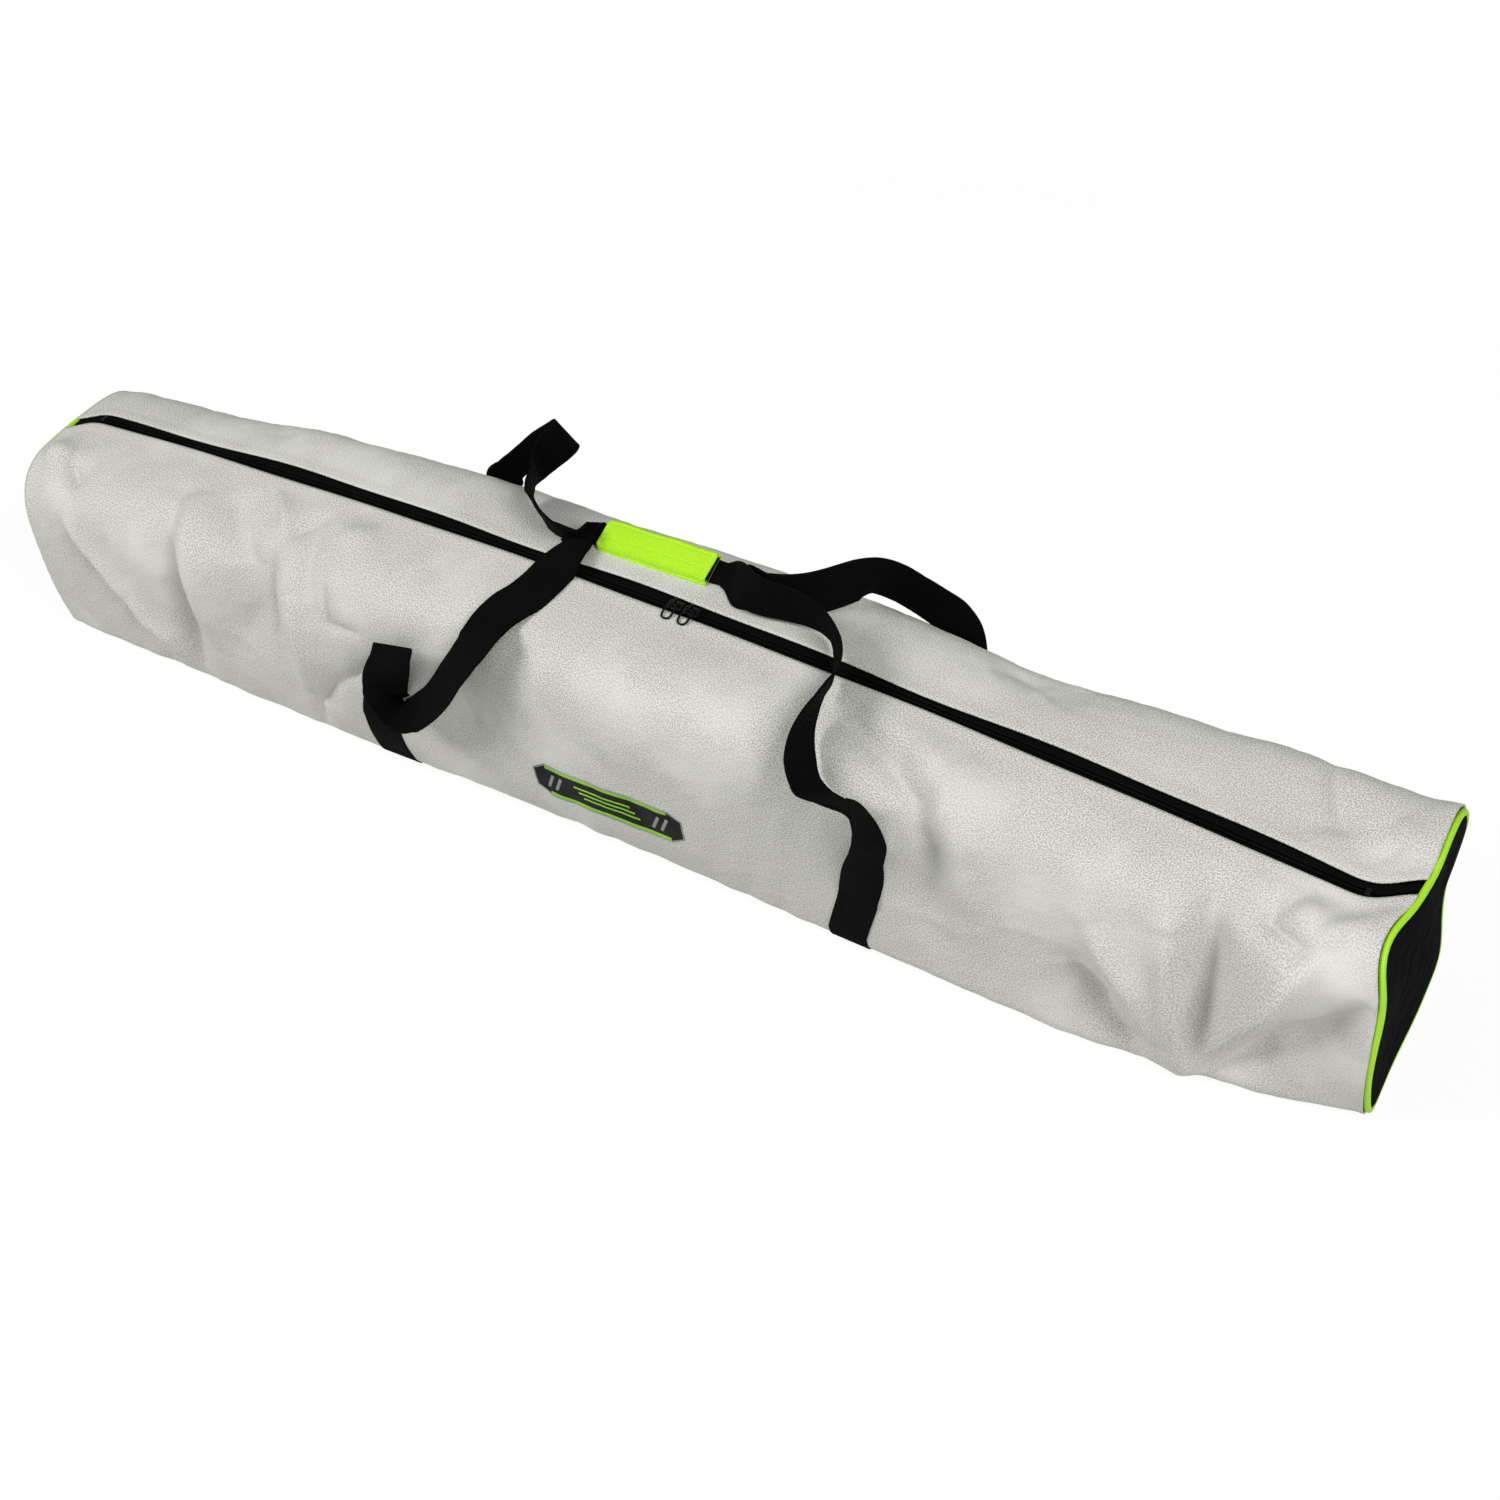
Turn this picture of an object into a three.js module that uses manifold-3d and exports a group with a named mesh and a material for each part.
// Roundnet set packed in its long zipped carry bag.
// Millimetres, +Z up. The origin is on the floor under the middle of the bag's base,
// +X runs along the bag to its right end, -Y is the bag's front.
import * as THREE from 'three';
import { mergeVertices } from 'three/addons/utils/BufferGeometryUtils.js';
import Module from 'manifold-3d';

const wasm = await Module();
wasm.setup();

// ---------------------------------------------------------------- driving dimensions
const gap = 0.3;                    // clearance between pieces that touch

// bag body
const bagLength = 1270;
const endHalfWidth = 86;            // half width of the bag at its end panels
const middleHalfWidth = 102;        // half width where the bag swells in the middle
const endHeight = 184;
const sideHeight = 88;              // the side walls stand upright this far
const baseCorner = 18;              // radius between the base and the side walls
const shoulderPower = 4.5;          // power of the superellipse from side wall to zip
const clothThickness = 1.8;
const baseThickness = 2;
const bodyStations = 20;            // loft sections along the zip
const shoulderSteps = 8;
const cornerSteps = 3;

// end panels and their piping
const pipingRadius = 3;
const pipingSides = 6;
const endPanelThickness = 2;

// zip: an arc that is highest in the middle of the bag
const zipInset = 35;                // from the end of the zip's arc to the end of the bag
const zipHalf = bagLength / 2 - zipInset;
const zipMiddleHeight = 214;
const zipLeftHeight = 191;
const zipRightHeight = 175;
const zipDrift = 15;                // the left end lies this far to the rear, the right end to the front
const zipWindow = 7.5;              // half the open width between the two cloth edges
const tapeHalfWidth = 16;
const tapeThickness = 0.8;
const chainSlit = 0.6;              // half the slit between the two coils
const coilWidth = 2.6;
const coilHeight = 2.5;
const stopLength = 4;

// sliders and pulls
const sliderLength = 14;
const sliderPlate = 1.6;
const sliderWall = 1.2;
const sliderNeck = 0.56;            // thickness of the wedge that runs in the slit
const neckLength = 5;
const crownLength = 9;
const crownPost = 1.8;
const crownBarRadius = 0.8;
const pullWire = 0.9;
const pullEyeClearance = 0.4;
const pullLength = 24;
const pullWidth = 10;
const pullRestAngle = 12;           // degrees below level, lying on the front panel
const slidersMeetAt = 45.5;         // along the zip, to the right of the middle
const sliderSpacing = 1;

// webbing
const webbingWidth = 38;
const webbingThickness = 2.2;
const legOffset = 231;              // from the middle of the bag to the middle of a leg
const legHeight = 70;               // how far up the side wall a leg is sewn
const legStartAngle = -58;          // degrees on the lower corner where a leg leaves the base seam

// hand wrap that holds the two straps together
const wrapLength = 106;
const wrapCentre = [-2, 33];
const wrapCloth = 1.5;
const wrapSlack = 0.7;              // between the webbing's edge and the wrap, each side
const stripThickness = 0.8;
const stripWidth = 30;
const flapThickness = 1.6;
const gripOverhang = 2;             // webbing that shows past each end of the wrap
const legLead = 8;                  // a strap leaves its leg straight for this far
const wrapLead = 4;                 // and the wrap for this far

// label
const labelLength = 138;
const labelTaper = 14;
const labelCentreX = 13;
const labelLow = 50;
const labelHigh = 82;
const labelTip = 5;
const labelThickness = 1;

// the set inside the bag
const ringRadius = 455;
const ringSections = 5;
const rimRadius = 12.5;
const rimWall = 1.6;
const rimSides = 8;
const rimSteps = 9;
const spigotLength = 28;
const hooksPerSection = 8;
const hookReach = 8;
const hookSize = 5;
const legTubeRadius = 11;
const legFootRadius = 14;
const legFootLength = 22;
const legTubeLength = 200;
const netRadius = 38;
const ballRadius = 45;
const ballCount = 3;
const packingGap = 8;               // between one thing packed in the bag and the next along it

// ---------------------------------------------------------------- finishes
const finish = (color, roughness, metalness = 0) =>
  new THREE.MeshStandardMaterial({ color, roughness, metalness, side: THREE.FrontSide });
const silverCloth = finish(0xc9c8c1, 0.6);
const blackCloth = finish(0x15161a, 0.8);
const limeCloth = finish(0xa8e81c, 0.7);
const blackWebbing = finish(0x0f1013, 0.85);
const blackMetal = finish(0x1a1a1c, 0.35, 0.6);
const labelRubber = finish(0x17181a, 0.5);
const rimPlastic = finish(0x1d1e20, 0.5);
const netCord = finish(0x202124, 0.9);
const ballSkin = finish(0xf2d21b, 0.55);

const bag = new THREE.Group();

function addPiece(name, geometry, material, parent = bag) {
  const mesh = new THREE.Mesh(geometry, material);
  mesh.name = name;
  parent.add(mesh);
  return mesh;
}

// ---------------------------------------------------------------- mesh helpers
// Closed solid through rings of points. Each ring is a closed loop of the same count. The
// second half of a ring is cut on the other diagonal, so a thin skin's two faces stay apart.
function loft(rings, closed = false) {
  const count = rings[0].length;
  const points = rings.flat();
  const faces = [];
  const spans = closed ? rings.length : rings.length - 1;
  for (let i = 0; i < spans; i++) {
    const next = (i + 1) % rings.length;
    for (let j = 0; j < count; j++) {
      const k = (j + 1) % count;
      const corners = [i * count + j, i * count + k, next * count + k, next * count + j];
      const [a, b, c, d] = j < count / 2 ? corners : [...corners.slice(1), corners[0]];
      faces.push([a, b, c], [a, c, d]);
    }
  }
  if (!closed) {
    const last = (rings.length - 1) * count;
    for (const [a, b, c] of capFaces(rings[0])) faces.push([a, c, b]);
    for (const [a, b, c] of capFaces(rings[rings.length - 1])) faces.push([last + a, last + b, last + c]);
  }
  return facingOut(points, faces);
}

// Triangles that fill one ring, all turned the same way as the ring.
function capFaces(ring) {
  const normal = new THREE.Vector3();
  ring.forEach((p, i) => normal.add(p.clone().cross(ring[(i + 1) % ring.length])));
  normal.normalize();
  const u = ring[1].clone().sub(ring[0]).normalize();
  const v = normal.clone().cross(u);
  const flat = ring.map((p) => new THREE.Vector2(p.dot(u), p.dot(v)));
  return THREE.ShapeUtils.triangulateShape(flat, []).map(([a, b, c]) => {
    const ab = flat[b].clone().sub(flat[a]);
    const ac = flat[c].clone().sub(flat[a]);
    return ab.cross(ac) > 0 ? [a, b, c] : [a, c, b];
  });
}

// Geometry from points and faces, turned over if its faces point in.
function facingOut(points, faces) {
  let volume = 0;
  for (const [a, b, c] of faces) volume += points[a].dot(points[b].clone().cross(points[c]));
  const turned = volume < 0 ? faces.map(([a, b, c]) => [a, c, b]) : faces;
  const geometry = new THREE.BufferGeometry().setFromPoints(points);
  geometry.setIndex(turned.flat());
  return geometry;
}

function toSolid(geometry) {
  const bare = geometry.clone();
  bare.deleteAttribute('normal');
  bare.deleteAttribute('uv');
  const merged = mergeVertices(bare, 1e-4);
  return new wasm.Manifold(new wasm.Mesh({
    numProp: 3,
    vertProperties: Float32Array.from(merged.attributes.position.array),
    triVerts: Uint32Array.from(merged.index.array),
  }));
}

function fromSolid(solid) {
  const mesh = solid.getMesh();
  const geometry = new THREE.BufferGeometry();
  geometry.setAttribute('position', new THREE.BufferAttribute(Float32Array.from(mesh.vertProperties), 3));
  geometry.setIndex(new THREE.BufferAttribute(Uint32Array.from(mesh.triVerts), 1));
  return geometry;
}

function joined(geometries) {
  const [first, ...rest] = geometries.map(toSolid);
  return fromSolid(rest.reduce((sum, solid) => sum.add(solid), first));
}

function boxBetween(low, high) {
  const size = high.map((value, i) => value - low[i]);
  const centre = high.map((value, i) => (value + low[i]) / 2);
  return new THREE.BoxGeometry(...size).translate(...centre);
}

const range = (count) => Array.from({ length: count }, (_, i) => i);
const spread = (from, to, steps) => range(steps + 1).map((i) => from + ((to - from) * i) / steps);

// ---------------------------------------------------------------- the zip's arc
const up = new THREE.Vector3(0, 0, 1);
const zipAlong = new THREE.Vector3(zipHalf, -zipDrift, (zipRightHeight - zipLeftHeight) / 2).normalize();
const zipUp = up.clone().addScaledVector(zipAlong, -zipAlong.z).normalize();
const zipAcross = zipUp.clone().cross(zipAlong);
const zipSag = zipMiddleHeight - (zipLeftHeight + zipRightHeight) / 2;
const zipRadius = (zipHalf ** 2 + zipSag ** 2) / (2 * zipSag);
const zipArcCentre = new THREE.Vector3(0, 0, zipMiddleHeight).addScaledVector(zipUp, -zipRadius);

function zipPoint(along) {
  const angle = along / zipRadius;
  return zipArcCentre.clone()
    .addScaledVector(zipUp, zipRadius * Math.cos(angle))
    .addScaledVector(zipAlong, zipRadius * Math.sin(angle));
}

// Height and side position of the bag's top line at x. Past the zip's arc it
// eases over to the middle of the end panel.
function topLine(x) {
  const bodyHalf = bagLength / 2;
  const held = THREE.MathUtils.clamp(x, -zipHalf, zipHalf);
  const onArc = zipPoint(zipRadius * Math.asin(held / (zipRadius * zipAlong.x)));
  const ease = THREE.MathUtils.smoothstep(Math.abs(x), zipHalf, bodyHalf);
  return {
    y: onArc.y * (1 - ease),
    z: THREE.MathUtils.lerp(onArc.z, endHeight, ease),
  };
}

function halfWidth(x) {
  const share = (2 * x) / bagLength;
  return endHalfWidth + (middleHalfWidth - endHalfWidth) * (1 - share * share);
}

// ---------------------------------------------------------------- bag section
// Outer outline of one side from the base seam up to the zip, as [distance, height]
// pairs, where distance is measured towards that side (side is -1 front, +1 rear).
function sideOutline(x, side) {
  const width = halfWidth(x);
  const top = topLine(x);
  const middle = side * top.y;
  const outline = [];
  for (const angle of spread(-90, 0, cornerSteps)) {
    const turn = THREE.MathUtils.degToRad(angle);
    outline.push([width - baseCorner + baseCorner * Math.cos(turn), baseCorner * (1 + Math.sin(turn))]);
  }
  for (const angle of spread(0, Math.PI / 2, shoulderSteps).slice(0, -1)) {
    outline.push([
      middle + (width - middle) * Math.cos(angle) ** (2 / shoulderPower),
      sideHeight + (top.z - sideHeight) * Math.sin(angle) ** (2 / shoulderPower),
    ]);
  }
  outline.push([middle + zipWindow, top.z]);
  return outline;
}

// The same outline moved out by distance, square to itself.
function offsetOutline(outline, distance) {
  return outline.map(([d, z], i) => {
    const [d0, z0] = outline[Math.max(i - 1, 0)];
    const [d1, z1] = outline[Math.min(i + 1, outline.length - 1)];
    const length = Math.hypot(d1 - d0, z1 - z0);
    return [d + ((z1 - z0) / length) * distance, z - ((d1 - d0) / length) * distance];
  });
}

const toRing = (x, side, outline) => outline.map(([d, z]) => new THREE.Vector3(x, side * d, z));

// A skin that follows the side wall: outer and inner are its distances from the wall.
function skinRing(x, side, outline, outer, inner) {
  const outside = offsetOutline(outline, outer);
  const inside = offsetOutline(outline, inner).reverse();
  return toRing(x, side, [...outside, ...inside]);
}

// ---------------------------------------------------------------- bag body
const bodyEnd = bagLength / 2 - 2 * pipingRadius - gap;
const zipEndX = zipHalf * zipAlong.x;
const bodyXs = [-bodyEnd, ...spread(-zipEndX, zipEndX, bodyStations), bodyEnd];

for (const [name, side] of [['front_panel', -1], ['rear_panel', 1]]) {
  const rings = bodyXs.map((x) => skinRing(x, side, sideOutline(x, side), 0, -clothThickness));
  addPiece(name, loft(rings), silverCloth);
}

const baseRings = bodyXs.map((x) => {
  const [seam] = offsetOutline(sideOutline(x, 1), -clothThickness);
  const half = seam[0] - gap;
  return [[-half, 0], [half, 0], [half, baseThickness], [-half, baseThickness]]
    .map(([y, z]) => new THREE.Vector3(x, y, z));
});
addPiece('base_panel', loft(baseRings), silverCloth);

// Whole outline of the bag's end, front and rear together, moved in by inset.
function endOutline(inset) {
  const x = bagLength / 2;
  const half = offsetOutline(sideOutline(x, 1), -inset);
  const rear = half.map(([d, z]) => new THREE.Vector2(d, z));
  const front = half.map(([d, z]) => new THREE.Vector2(-d, z)).reverse();
  return [...rear, ...front];
}

for (const [end, sign] of [['left', -1], ['right', 1]]) {
  const seamX = sign * (bagLength / 2 - pipingRadius);
  const path = endOutline(pipingRadius);
  const rings = path.map((p, i) => {
    const before = path[(i + path.length - 1) % path.length];
    const after = path[(i + 1) % path.length];
    const outward = new THREE.Vector3(0, after.y - before.y, before.x - after.x).normalize();
    return range(pipingSides).map((k) => {
      const turn = (2 * Math.PI * (k + 0.5)) / pipingSides;
      return new THREE.Vector3(seamX, p.x, p.y)
        .addScaledVector(outward, pipingRadius * Math.cos(turn))
        .add(new THREE.Vector3(pipingRadius * Math.sin(turn), 0, 0));
    });
  });
  addPiece(`piping_${end}`, loft(rings, true), limeCloth);

  const panelShape = endOutline(2 * pipingRadius + gap);
  const panelRings = [-1, 1].map((face) => panelShape.map(
    (p) => new THREE.Vector3(seamX + (face * endPanelThickness) / 2, p.x, p.y)));
  addPiece(`end_panel_${end}`, loft(panelRings), blackCloth);
}

// ---------------------------------------------------------------- zip
const tapeTop = -clothThickness - gap;          // measured from the top line
const coilBottom = tapeTop + gap;
const coilTop = coilBottom + coilHeight;
const chainHalf = zipHalf - stopLength;         // the coils end where the stops begin

// A bar along the top line between two heights and two distances from the slit.
function zipBar(side, xs, near, far, low, high) {
  return loft(xs.map((x) => {
    const top = topLine(x);
    return [[near, low], [far, low], [far, high], [near, high]]
      .map(([d, z]) => new THREE.Vector3(x, top.y + side * d, top.z + z));
  }));
}

const [chainLeft, chainRight] = [-1, 1].map((sign) => zipPoint(sign * (chainHalf - 2 * gap)).x);
const coilXs = [chainLeft, ...bodyXs.filter((x) => x > chainLeft && x < chainRight), chainRight];
for (const [name, side] of [['front', -1], ['rear', 1]]) {
  const tapeBottom = tapeTop - tapeThickness;
  addPiece(`zip_tape_${name}`, zipBar(side, bodyXs, chainSlit, tapeHalfWidth, tapeBottom, tapeTop), blackCloth);
  addPiece(`zip_coil_${name}`,
    zipBar(side, coilXs, chainSlit, chainSlit + coilWidth, coilBottom, coilTop), blackMetal);
}

// Group that stands on the zip: x along it, y across it, z away from the bag.
function onZip(along) {
  const angle = along / zipRadius;
  const tangent = zipAlong.clone().multiplyScalar(Math.cos(angle)).addScaledVector(zipUp, -Math.sin(angle));
  const normal = zipUp.clone().multiplyScalar(Math.cos(angle)).addScaledVector(zipAlong, Math.sin(angle));
  const group = new THREE.Group();
  group.matrixAutoUpdate = false;
  group.matrix.makeBasis(tangent, zipAcross, normal).setPosition(zipPoint(along));
  bag.add(group);
  return group;
}

const coilOuter = chainSlit + coilWidth;
for (const [end, sign] of [['left', -1], ['right', 1]]) {
  const stop = onZip(sign * (chainHalf + stopLength / 2));
  const half = stopLength / 2;
  addPiece(`zip_stop_${end}`,
    boxBetween([-half, -coilOuter, coilBottom], [half, coilOuter, coilTop]), blackMetal, stop);
}

// Slider: a plate above and a plate below the chain, joined by a neck in the slit,
// walls that run down beside the coils and a crown bar along the top.
const plateLow = coilTop + gap;
const plateHigh = plateLow + sliderPlate;
const sliderHalfWidth = coilOuter + gap + sliderWall;
const underHigh = tapeTop - tapeThickness - gap;
const underLow = underHigh - sliderPlate;
const eyeInner = crownBarRadius + pullEyeClearance;
const eyeOuter = eyeInner + 2 * pullWire;
const crownHeight = plateHigh + eyeOuter + gap;

function sliderGeometry(neckSide) {
  const half = sliderLength / 2;
  const wallIn = sliderHalfWidth - sliderWall;
  const neckStart = Math.min(neckSide * half, neckSide * (half - neckLength));
  const crown = crownLength / 2;
  return joined([
    boxBetween([-half, -sliderHalfWidth, plateLow], [half, sliderHalfWidth, plateHigh]),
    boxBetween([-half, -sliderHalfWidth, underLow], [half, sliderHalfWidth, underHigh]),
    boxBetween([-half, wallIn, tapeTop + gap], [half, sliderHalfWidth, plateHigh]),
    boxBetween([-half, -sliderHalfWidth, tapeTop + gap], [half, -wallIn, plateHigh]),
    boxBetween([neckStart, -sliderNeck / 2, underLow], [neckStart + neckLength, sliderNeck / 2, plateHigh]),
    boxBetween([-crown, -crownPost / 2, plateLow], [-crown + crownPost, crownPost / 2, crownHeight]),
    boxBetween([crown - crownPost, -crownPost / 2, plateLow], [crown, crownPost / 2, crownHeight]),
    new THREE.CylinderGeometry(crownBarRadius, crownBarRadius, crownLength - crownPost, 8)
      .rotateZ(Math.PI / 2).translate(0, 0, crownHeight),
  ]);
}

// Pull: an eye round the crown bar and a long wire loop that leaves it along -Y.
function pullGeometry() {
  const eyeMiddle = (eyeInner + eyeOuter) / 2;
  const eyeRings = spread(0, 2 * Math.PI, 12).slice(0, -1).map((turn) => range(6).map((k) => {
    const around = (2 * Math.PI * k) / 6;
    const radius = eyeMiddle + pullWire * Math.cos(around);
    return new THREE.Vector3(pullWire * Math.sin(around), radius * Math.cos(turn), radius * Math.sin(turn));
  }));
  const bend = pullWidth / 2 - pullWire;
  const near = eyeMiddle + bend;
  const far = pullLength - pullWire - bend;
  const path = [
    ...spread(0, Math.PI, 6).map((turn) => [bend * Math.cos(turn), -near + bend * Math.sin(turn)]),
    ...spread(Math.PI, 2 * Math.PI, 6).map((turn) => [bend * Math.cos(turn), -far + bend * Math.sin(turn)]),
  ];
  const loopRings = path.map(([x, y], i) => {
    const [x0, y0] = path[(i + path.length - 1) % path.length];
    const [x1, y1] = path[(i + 1) % path.length];
    const outward = new THREE.Vector3(y1 - y0, x0 - x1, 0).normalize();
    return range(6).map((k) => {
      const around = (2 * Math.PI * k) / 6;
      return new THREE.Vector3(x, y, 0)
        .addScaledVector(outward, pullWire * Math.cos(around))
        .add(new THREE.Vector3(0, 0, pullWire * Math.sin(around)));
    });
  });
  return joined([loft(eyeRings, true), loft(loopRings, true)]);
}

for (const [end, sign] of [['left', -1], ['right', 1]]) {
  const along = slidersMeetAt + (sign * (sliderLength + sliderSpacing)) / 2;
  const carriage = onZip(along);
  addPiece(`slider_${end}`, sliderGeometry(-sign), blackMetal, carriage);
  const pull = addPiece(`pull_${end}`, pullGeometry(), blackMetal, carriage);
  pull.position.z = crownHeight;
  pull.rotation.x = THREE.MathUtils.degToRad(pullRestAngle);
}

// ---------------------------------------------------------------- webbing sewn to the bag
// Part of the side outline between two heights, with a corner point at each of them.
function outlineBetween(outline, low, high) {
  const cut = (height) => {
    const i = outline.findIndex(([, z]) => z > height);
    const [[d0, z0], [d1, z1]] = [outline[i - 1], outline[i]];
    return [d0 + ((d1 - d0) * (height - z0)) / (z1 - z0), height];
  };
  return [cut(low), ...outline.filter(([, z]) => z > low + gap && z < high - gap), cut(high)];
}

const legLow = baseCorner * (1 + Math.sin(THREE.MathUtils.degToRad(legStartAngle)));
const strapSides = [['front', -1], ['rear', 1]];
const strapEnds = [['left', -1], ['right', 1]];
for (const [sideName, side] of strapSides) {
  for (const [endName, sign] of strapEnds) {
    const centre = sign * legOffset;
    const xs = spread(centre - webbingWidth / 2, centre + webbingWidth / 2, 2);
    const rings = xs.map((x) => {
      const outline = outlineBetween(sideOutline(x, side), legLow, legHeight);
      return skinRing(x, side, outline, gap + webbingThickness, gap);
    });
    addPiece(`strap_leg_${sideName}_${endName}`, loft(rings), blackWebbing);
  }
}

// Label patch with pointed ends on the upright part of the front panel.
const labelMiddle = (labelLow + labelHigh) / 2;
const labelXs = [0, labelTaper, labelLength / 2, labelLength - labelTaper, labelLength]
  .map((x) => labelCentreX - labelLength / 2 + x);
const labelRings = labelXs.map((x, i) => {
  const atTip = i === 0 || i === labelXs.length - 1;
  const low = atTip ? labelMiddle - labelTip : labelLow;
  const high = atTip ? labelMiddle + labelTip : labelHigh;
  const wall = [[halfWidth(x), low], [halfWidth(x), high]];
  return skinRing(x, -1, wall, gap + labelThickness, gap);
});
addPiece('label_patch', loft(labelRings), labelRubber);

// ---------------------------------------------------------------- hand wrap
const [wrapX, wrapY] = wrapCentre;
const wrapBottom = topLine(wrapX - wrapLength / 2).z + gap;
const rearStrapZ = wrapBottom + wrapCloth + gap + webbingThickness / 2;
const frontStrapZ = rearStrapZ + webbingThickness + gap;
const wrapTop = frontStrapZ + webbingThickness / 2 + gap + wrapCloth;
const wrapHalfWidth = webbingWidth / 2 + wrapSlack + wrapCloth;
const wrapLow = [wrapX - wrapLength / 2, wrapY - wrapHalfWidth, wrapBottom];
const wrapHigh = [wrapX + wrapLength / 2, wrapY + wrapHalfWidth, wrapTop];
const outerWrap = toSolid(boxBetween(wrapLow, wrapHigh));
const wrapHollow = toSolid(boxBetween(
  [wrapLow[0] - wrapCloth, wrapLow[1] + wrapCloth, wrapLow[2] + wrapCloth],
  [wrapHigh[0] + wrapCloth, wrapHigh[1] - wrapCloth, wrapHigh[2] - wrapCloth]));
addPiece('wrap_sleeve', fromSolid(outerWrap.subtract(wrapHollow)), limeCloth);

const gripStart = wrapLow[0] - gripOverhang;
const gripEnd = wrapHigh[0] + gripOverhang;
for (const [name, z] of [['rear', rearStrapZ], ['front', frontStrapZ]]) {
  addPiece(`grip_webbing_${name}`, boxBetween(
    [gripStart, wrapY - webbingWidth / 2, z - webbingThickness / 2],
    [gripEnd, wrapY + webbingWidth / 2, z + webbingThickness / 2]), blackWebbing);
}

const stripPlate = (low) => boxBetween(
  [wrapLow[0] + wrapCloth, wrapY - stripWidth / 2, low],
  [wrapHigh[0] - wrapCloth, wrapY + stripWidth / 2, low + stripThickness]);
const loopStripLow = wrapTop + gap;
const hookStripLow = loopStripLow + stripThickness + gap;
const flapLow = hookStripLow + stripThickness + gap;
addPiece('loop_strip', stripPlate(loopStripLow), limeCloth);
addPiece('hook_strip', stripPlate(hookStripLow), blackCloth);
addPiece('wrap_flap', boxBetween(
  [wrapLow[0], wrapLow[1], flapLow], [wrapHigh[0], wrapHigh[1], flapLow + flapThickness]), limeCloth);

// ---------------------------------------------------------------- free strap loops
// Each station is the webbing's centre and the direction of its width.
function ribbon(stations, stepsPerSpan = 2) {
  const centres = new THREE.CatmullRomCurve3(stations.map(([centre]) => new THREE.Vector3(...centre)));
  const spans = stations.length - 1;
  const samples = spread(0, spans, spans * stepsPerSpan);
  return loft(samples.map((at) => {
    const i = Math.min(Math.floor(at), spans - 1);
    const centre = centres.getPoint(at / spans);
    const tangent = centres.getTangent(at / spans);
    const across = new THREE.Vector3(...stations[i][1])
      .lerp(new THREE.Vector3(...stations[i + 1][1]), at - i).normalize();
    const normal = tangent.clone().cross(across).normalize();
    return [[-1, -1], [1, -1], [1, 1], [-1, 1]].map(([a, n]) => centre.clone()
      .addScaledVector(across, (a * webbingWidth) / 2)
      .addScaledVector(normal, (n * webbingThickness) / 2));
  }));
}

const legTopZ = legHeight + gap;
const legY = (side) => side * (halfWidth(legOffset - webbingWidth / 2) + gap + webbingThickness / 2);
const legSeam = (side, sign, across) => [0, legLead].map(
  (lead) => [[sign * legOffset, legY(side), legTopZ + lead], across]);
const wrapSeam = (x, z) => [0, Math.sign(x) * wrapLead].map((lead) => [[x + lead, wrapY, z], [0, 1, 0]]);
// Where the straps lie: centres in hundredths of the legs' offset, the bag's half width
// and the zip's height, each with the direction of the webbing's width.
const placed = (stations) => stations.map(([[x, y, z], across]) => [
  [(x * legOffset) / 100, (y * middleHalfWidth) / 100, (z * zipMiddleHeight) / 100], across]);
const leftExit = gripStart - gap;
const rightExit = gripEnd + gap;

// Up from the leg, over a fold, down into a turn, then up across the front to the wrap.
addPiece('strap_loop_front_left', ribbon([
  ...legSeam(-1, -1, [1, 0, 0]),
  ...placed([
    [[-98.7, -100.5, 45.8], [0.99, 0, 0.1]],
    [[-93.5, -103.9, 61.7], [0.96, 0, 0.2]],
    [[-86.6, -109.8, 74.8], [0.96, 0, 0.26]],
    [[-82.7, -116.7, 80.4], [0.96, 0, 0.27]],
    [[-83.5, -123.5, 74.8], [0.97, 0, 0.2]],
    [[-87, -121.6, 61.7], [0.99, 0, 0.1]],
    [[-88.7, -114.7, 48.6], [1, 0, 0]],
    [[-87, -110.8, 43], [0.82, 0, 0.57]],
    [[-82.7, -107.8, 39.3], [0.34, 0, 0.94]],
    [[-77.5, -106.9, 39.3], [-0.26, 0, 0.97]],
    [[-72.7, -105.9, 42.5], [-0.77, 0, 0.64]],
    [[-61.9, -103.4, 57], [-0.78, 0, 0.63]],
    [[-51.1, -102.5, 72], [-0.78, 0, 0.63]],
    [[-43.7, -100, 85], [-0.8, 0.2, 0.55]],
    [[-40.7, -91.2, 94.9], [-0.87, 0.45, 0.1]],
    [[-38.1, -73.5, 100.9], [-0.88, 0.47, 0]],
    [[-36.4, -44.1, 101.4], [-0.93, 0.36, 0]],
    [[-36.4, -13.7, 102.1], [-0.98, 0.15, 0]],
    [[-35.8, 11.3, 104], [-1, 0, 0]],
    [[-34.6, 21.8, 104.2], [-0.87, 0.5, 0]],
    [[-31.2, 29.5, 104], [-0.5, 0.87, 0]],
  ]),
  ...wrapSeam(leftExit, frontStrapZ).reverse(),
]), blackWebbing);

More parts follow.
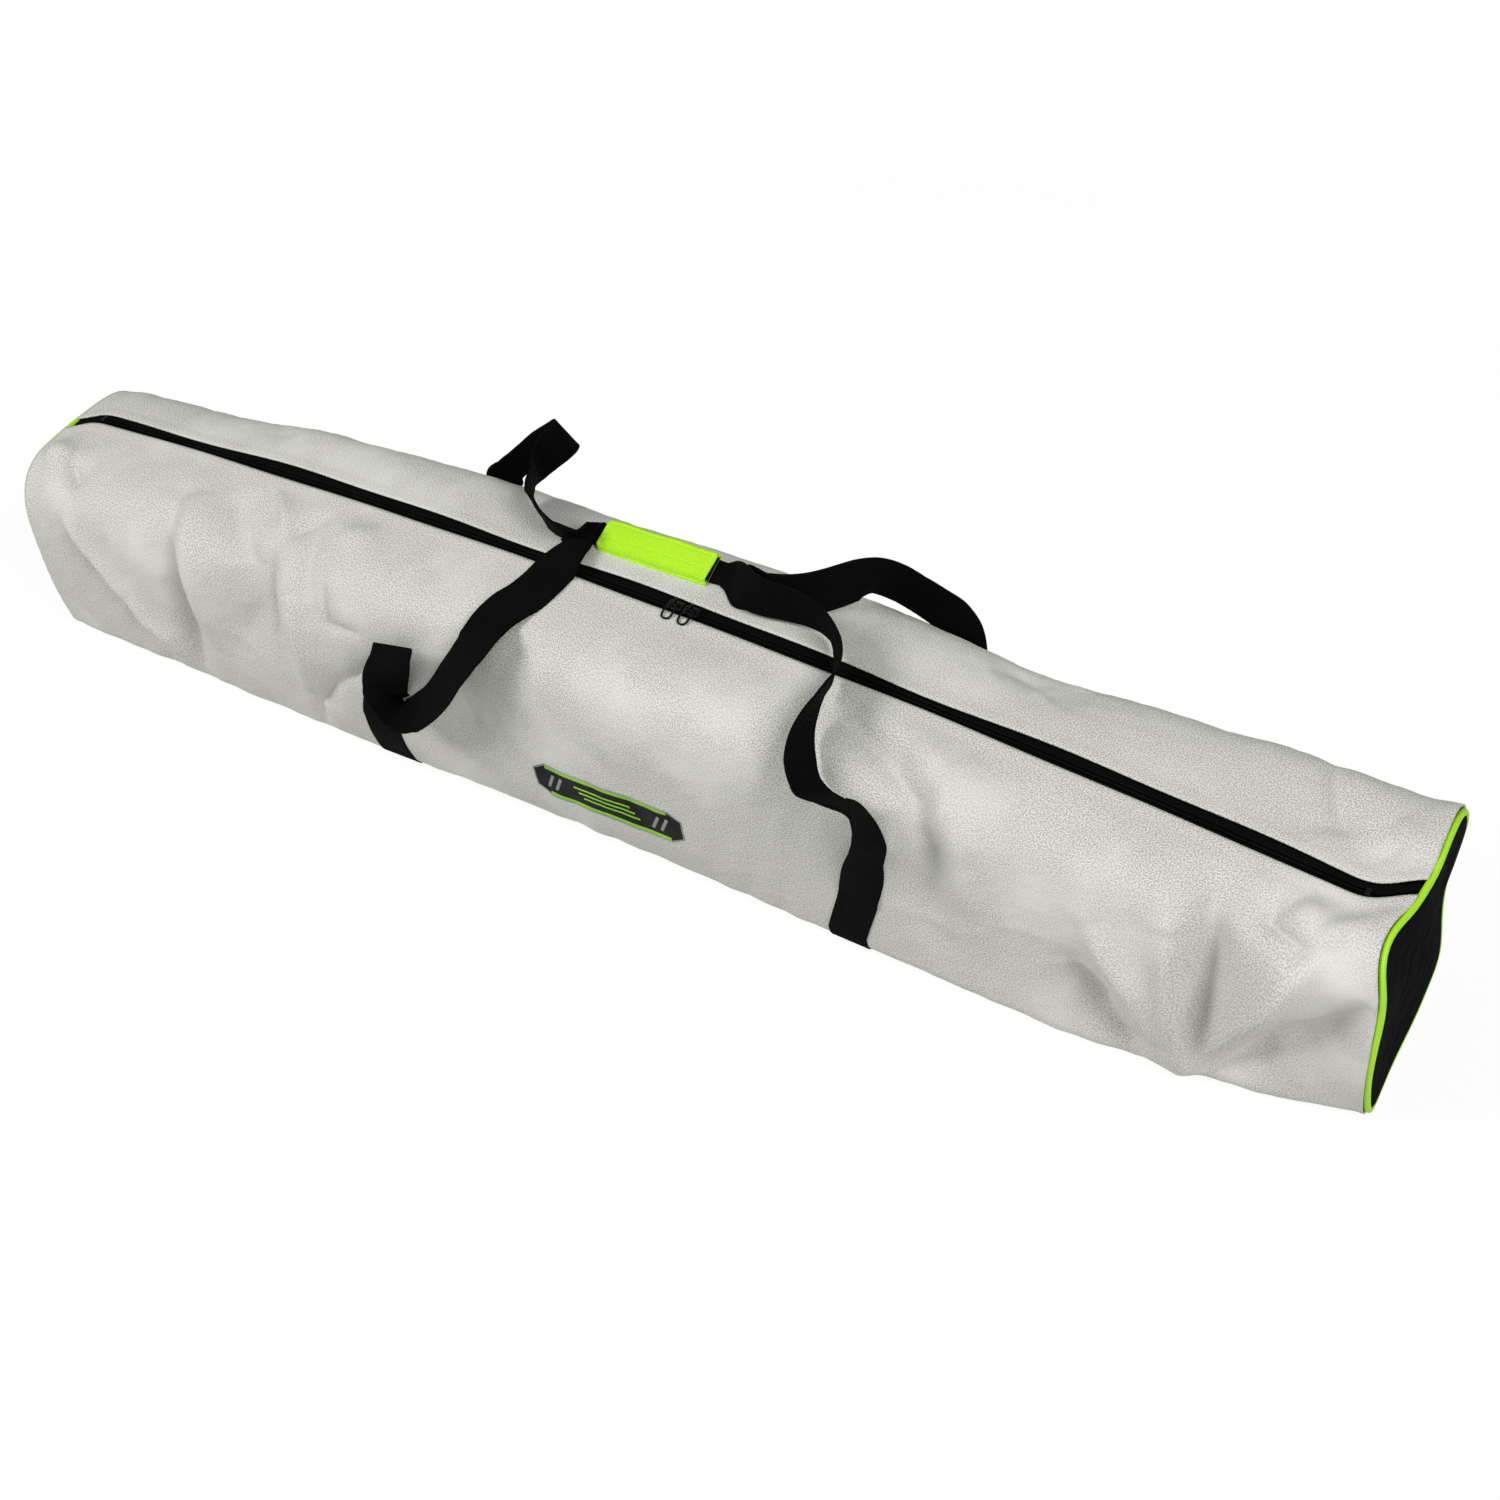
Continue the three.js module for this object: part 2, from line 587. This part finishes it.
// Up the rear and over the top of the loop, then on its edge down to the wrap.
addPiece('strap_loop_rear_left', ribbon([
  ...legSeam(1, -1, [-1, 0, 0]),
  ...placed([
    [[-100, 99.6, 49.1], [-1, 0, 0]],
    [[-98.3, 101.5, 67.8], [-0.98, 0, 0.2]],
    [[-91.8, 103.9, 82.2], [-0.8, -0.1, 0.55]],
    [[-82.3, 105.9, 94.4], [-0.72, -0.15, 0.66]],
    [[-69.3, 105.9, 107.5], [-0.66, -0.2, 0.7]],
    [[-59.7, 102.9, 116.8], [-0.6, -0.3, 0.74]],
    [[-55.4, 95.1, 120.1], [-0.6, -0.3, 0.74]],
    [[-58.9, 87.3, 116.8], [-0.5, -0.3, 0.8]],
    [[-64.9, 78.4, 112.1], [-0.2, -0.2, 0.96]],
    [[-65.8, 66.7, 110.3], [0, 0, 1]],
    [[-59.7, 52, 109.8], [0, 0, 1]],
    [[-52.8, 42.2, 109.8], [0, 0.25, 0.97]],
    [[-47.6, 37.7, 107], [0, 0.75, 0.66]],
    [[-42.9, 34.3, 103], [0, 0.98, 0.2]],
    [[-38.1, 32.4, 101.9], [0, 1, 0]],
  ]),
  ...wrapSeam(leftExit, rearStrapZ).reverse(),
]), blackWebbing);

// From the wrap on its edge over the zip, then down the front in an S and into the leg.
addPiece('strap_loop_front_right', ribbon([
  ...wrapSeam(rightExit, frontStrapZ),
  ...placed([
    [[28.6, 31.7, 105.4], [0, 0.94, 0.34]],
    [[32.9, 29.4, 108.2], [0, 0.7, 0.71]],
    [[37.2, 24, 109.7], [0.05, 0.15, 0.98]],
    [[46.8, 19.6, 109.8], [0.15, 0.1, 0.98]],
    [[58.4, 19.6, 109.6], [0.3, 0, 0.95]],
    [[69.3, 14.7, 109.1], [0.35, -0.2, 0.9]],
    [[77.1, 4.9, 108.2], [0.47, -0.4, 0.78]],
    [[81.4, -7.8, 107.7], [0.5, -0.45, 0.75]],
    [[84, -21.6, 107.2], [0.45, -0.55, 0.7]],
    [[84.8, -35.3, 107.2], [0.3, -0.58, 0.75]],
    [[84.8, -49, 107], [0.25, -0.64, 0.72]],
    [[85.3, -64.7, 106.5], [0.1, -0.7, 0.7]],
    [[86.1, -81.4, 103.7], [-0.05, -0.75, 0.65]],
    [[88.7, -96.1, 99.1], [-0.2, -0.75, 0.6]],
    [[94.4, -106.9, 93.9], [-0.3, -0.85, 0.35]],
    [[103, -111.8, 88.8], [-0.35, -0.9, -0.3]],
    [[109.1, -109.8, 79.4], [-0.8, -0.55, -0.2]],
    [[109.1, -104.9, 67.8], [-0.99, -0.05, 0.05]],
    [[106.5, -102, 56.1], [-0.98, 0, 0.2]],
    [[102.6, -100.2, 44.4], [-0.98, 0, 0.2]],
  ]),
  ...legSeam(-1, 1, [-1, 0, 0]).reverse(),
]), blackWebbing);

// From the wrap on its edge along the top, over the rear shoulder and down to the leg.
addPiece('strap_loop_rear_right', ribbon([
  ...wrapSeam(rightExit, rearStrapZ),
  ...placed([
    [[29, 32.6, 103], [0, 0.98, 0.2]],
    [[33.3, 34.3, 106.3], [0, 0.8, 0.6]],
    [[38.1, 38.2, 109.2], [0, 0.37, 0.93]],
    [[52.8, 45.1, 109.8], [-0.05, 0.12, 0.98]],
    [[64.9, 52.9, 109.8], [-0.1, 0.1, 0.98]],
    [[71.9, 65.7, 108.4], [0, 0.1, 0.98]],
    [[77.1, 84.3, 104.2], [0.15, 0.1, 0.98]],
    [[82.3, 99, 96.3], [0.35, 0.15, 0.92]],
    [[89.2, 106.9, 88.3], [0.6, 0.15, 0.78]],
    [[95.2, 106.9, 79.9], [0.85, 0.1, 0.5]],
    [[99.1, 102.9, 68.2], [0.99, 0, 0.12]],
    [[100, 100, 49.1], [1, 0, 0]],
  ]),
  ...legSeam(1, 1, [1, 0, 0]).reverse(),
]), blackWebbing);

// ---------------------------------------------------------------- the set inside
const floorZ = baseThickness + gap;

// One section of the playing ring, lying flat with its crown to the rear.
function rimGeometry() {
  const halfAngle = Math.PI / ringSections;
  const inward = -ringRadius * Math.cos(halfAngle) - (ringRadius * (1 - Math.cos(halfAngle))) / 2;
  const at = (angle, radius) => new THREE.Vector3(
    radius * Math.sin(angle), radius * Math.cos(angle) + inward, 0);
  const section = (outer, inner, path, steps) => {
    const shape = new THREE.Shape(range(rimSides).map((k) => {
      const turn = (2 * Math.PI * (k + 0.5)) / rimSides;
      return new THREE.Vector2(outer * Math.cos(turn), outer * Math.sin(turn));
    }));
    shape.holes.push(new THREE.Path(range(rimSides).map((k) => {
      const turn = (-2 * Math.PI * (k + 0.5)) / rimSides;
      return new THREE.Vector2(inner * Math.cos(turn), inner * Math.sin(turn));
    })));
    return new THREE.ExtrudeGeometry(shape, { steps, extrudePath: path, curveSegments: 1 });
  };
  const arc = new THREE.CatmullRomCurve3(
    spread(-halfAngle, halfAngle, rimSteps).map((angle) => at(angle, ringRadius)));
  const spigotOuter = rimRadius - rimWall - gap;
  const end = at(halfAngle, ringRadius);
  const tangent = new THREE.Vector3(Math.cos(halfAngle), -Math.sin(halfAngle), 0);
  const spigotPath = new THREE.LineCurve3(
    end.clone().addScaledVector(tangent, -rimWall), end.clone().addScaledVector(tangent, spigotLength));
  const collar = new THREE.LineCurve3(
    end.clone().addScaledVector(tangent, -2 * rimWall), end.clone().addScaledVector(tangent, -gap));
  const hooks = spread(-halfAngle, halfAngle, hooksPerSection + 1).slice(1, -1).map((angle) => {
    const hook = new THREE.BoxGeometry(hookSize, hookReach, hookSize);
    hook.rotateZ(-angle);
    const seat = at(angle, ringRadius + rimRadius + hookReach / 2 - 2 * rimWall);
    return hook.translate(seat.x, seat.y, seat.z);
  });
  return joined([
    section(rimRadius, rimRadius - rimWall, arc, rimSteps),
    section(spigotOuter, spigotOuter - rimWall, spigotPath, 1),
    section(rimRadius - rimWall / 2, spigotOuter - rimWall / 2, collar, 1),
    ...hooks,
  ]);
}

const rimHalfHeight = rimRadius * Math.cos(Math.PI / rimSides);
for (const i of range(ringSections)) {
  const rim = addPiece(`rim_section_${i + 1}`, rimGeometry(), rimPlastic);
  rim.position.z = floorZ + rimHalfHeight + i * (2 * rimHalfHeight + gap);
}

const rimHalfLength = ringRadius * Math.sin(Math.PI / ringSections) + rimRadius;
const rightEnd = bodyEnd - packingGap;
const netStart = rimHalfLength + spigotLength + packingGap;
const netLength = rightEnd - netStart;

// Rolled net, on the base at the front of the right end.
const netRound = netRadius / 5;
const netProfile = [
  [0, 0], [netRadius - netRound, 0], [netRadius, netRound],
  [netRadius, netLength - netRound], [netRadius - netRound, netLength], [0, netLength],
].map(([r, x]) => new THREE.Vector2(r, x));
const netRoll = addPiece('rolled_net', new THREE.LatheGeometry(netProfile, 16).rotateZ(-Math.PI / 2), netCord);
netRoll.position.set(netStart, -netRadius - legFootRadius / 2, floorZ + netRadius);

// Five legs in two rows beside the net, three on the base and two on top.
const footRound = legFootRadius / 4;
const legProfile = [
  [0, 0], [legFootRadius - footRound, 0], [legFootRadius, footRound], [legFootRadius, legFootLength],
  [legTubeRadius, legFootLength], [legTubeRadius, legTubeLength], [0, legTubeLength],
].map(([r, x]) => new THREE.Vector2(r, x));
const legPitch = 2 * legFootRadius + gap;
const firstLegY = netRoll.position.y + netRadius + gap + legFootRadius;
range(ringSections).forEach((i) => {
  const lowerRow = i < 3;
  const column = lowerRow ? i : i - 2.5;
  const leg = addPiece(`stand_leg_${i + 1}`,
    new THREE.LatheGeometry(legProfile, 12).rotateZ(-Math.PI / 2), rimPlastic);
  leg.position.set(
    rightEnd - legTubeLength,
    firstLegY + column * legPitch,
    floorZ + legFootRadius + (lowerRow ? 0 : legPitch * Math.sin(Math.PI / 3)));
});

// Balls in a row at the left end.
for (const i of range(ballCount)) {
  const ball = addPiece(`ball_${i + 1}`, new THREE.IcosahedronGeometry(ballRadius, 3), ballSkin);
  ball.position.set(
    -rightEnd + ballRadius + i * (2 * ballRadius + gap), 0, floorZ + ballRadius);
}

export default bag;
